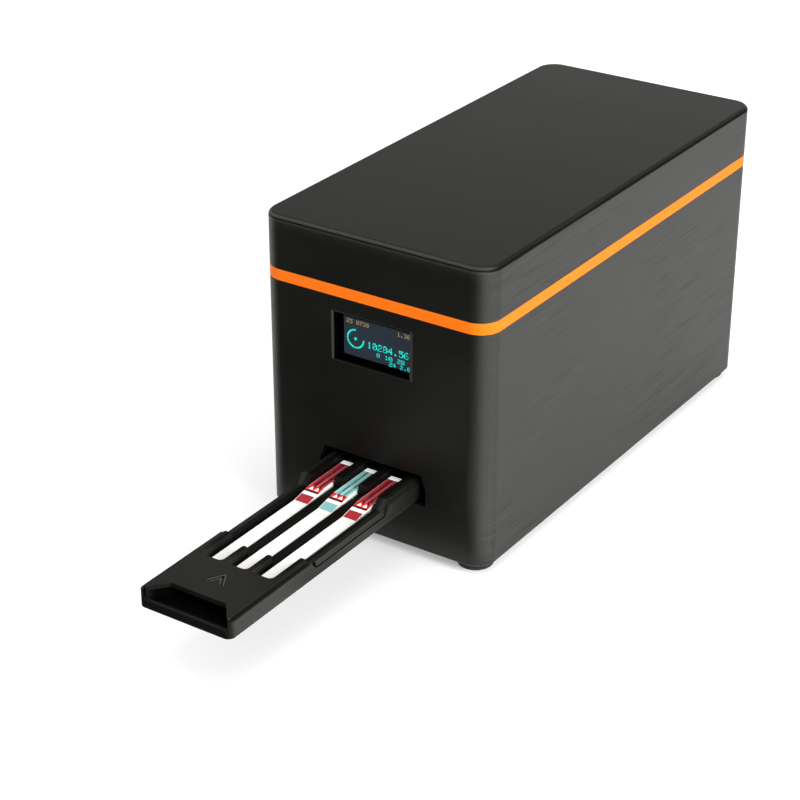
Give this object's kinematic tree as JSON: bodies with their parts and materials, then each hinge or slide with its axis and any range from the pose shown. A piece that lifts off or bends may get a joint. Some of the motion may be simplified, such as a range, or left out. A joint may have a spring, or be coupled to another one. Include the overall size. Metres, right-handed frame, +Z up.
{
  "type": "rapid test reader",
  "caption": "Bench-top reader for rapid test strips: black printed case with orange band, small display window and a strip tray that slides out of its front.",
  "frame": {"origin": "middle of the whole outline's footprint with the tray out, on the table under the feet", "axes": "+Z up; the display and the tray's slot face -Y; +X is to the right for someone looking at the display"},
  "size_m": [0.07, 0.2312, 0.0874],
  "materials": {
    "case_black": "satin black printed plastic with fine layer lines",
    "tray_black": "satin black printed plastic",
    "accent_orange": "satin orange plastic",
    "foot_rubber": "matt black rubber",
    "bare_steel": "plated steel",
    "board_green": "green circuit board",
    "display_glass": "dark glossy display panel",
    "inner_black": "matt black",
    "lamp_white": "white board and lamps",
    "strip_white": "matt white card",
    "label_red": "printed label",
    "label_teal": "printed label",
    "switch_black": "semi-gloss black"
  },
  "bodies": {
    "case": {"lower_housing": "case_black", "accent_band": "accent_orange", "top_cover": "case_black", "base_plate": "case_black", "display_glass": "display_glass", "display_board": "board_green", "guide_rail_left": "case_black", "guide_rail_right": "case_black", "optics_hood": "inner_black", "camera_board": "board_green", "camera_lens": "inner_black", "lamp_board_left": "lamp_white", "lamp_board_right": "lamp_white", "stop_bumper": "foot_rubber", "position_sensor": "inner_black", "main_board": "board_green", "processor_module": "bare_steel", "power_socket": "bare_steel", "switch_frame": "switch_black", "foot_left_front": "foot_rubber", "base_screw_left_front": "bare_steel", "cover_screw_left_front": "bare_steel", "rail_screw_left_front": "bare_steel", "hood_screw_left_front": "bare_steel", "board_screw_left_front": "bare_steel", "foot_left_rear": "foot_rubber", "base_screw_left_rear": "bare_steel", "cover_screw_left_rear": "bare_steel", "rail_screw_left_rear": "bare_steel", "hood_screw_left_rear": "bare_steel", "board_screw_left_rear": "bare_steel", "foot_right_front": "foot_rubber", "base_screw_right_front": "bare_steel", "cover_screw_right_front": "bare_steel", "rail_screw_right_front": "bare_steel", "hood_screw_right_front": "bare_steel", "board_screw_right_front": "bare_steel", "foot_right_rear": "foot_rubber", "base_screw_right_rear": "bare_steel", "cover_screw_right_rear": "bare_steel", "rail_screw_right_rear": "bare_steel", "hood_screw_right_rear": "bare_steel", "board_screw_right_rear": "bare_steel", "display_screw_left_lower": "bare_steel", "display_screw_left_upper": "bare_steel", "display_screw_right_lower": "bare_steel", "display_screw_right_upper": "bare_steel"},
    "drawer": {"drawer_tray": "tray_black", "strip_holder": "tray_black", "test_strip_left": "strip_white", "test_strip_centre": "strip_white", "test_strip_right": "strip_white", "absorbent_pad_left": "label_red", "absorbent_pad_centre": "label_teal", "absorbent_pad_right": "label_red"},
    "rocker": {"switch_rocker": "switch_black"}
  },
  "joints": [
    {"name": "drawer_slide", "type": "slide", "parent": "case", "child": "drawer", "axis": [0, -1, 0], "range_m": [-0.069, 0.012]},
    {"name": "rocker_tilt", "type": "hinge", "parent": "case", "child": "rocker", "pos_m": [0.014, 0.11188, 0.0523], "axis": [1, 0, 0], "range_deg": [0, 22]}
  ]
}
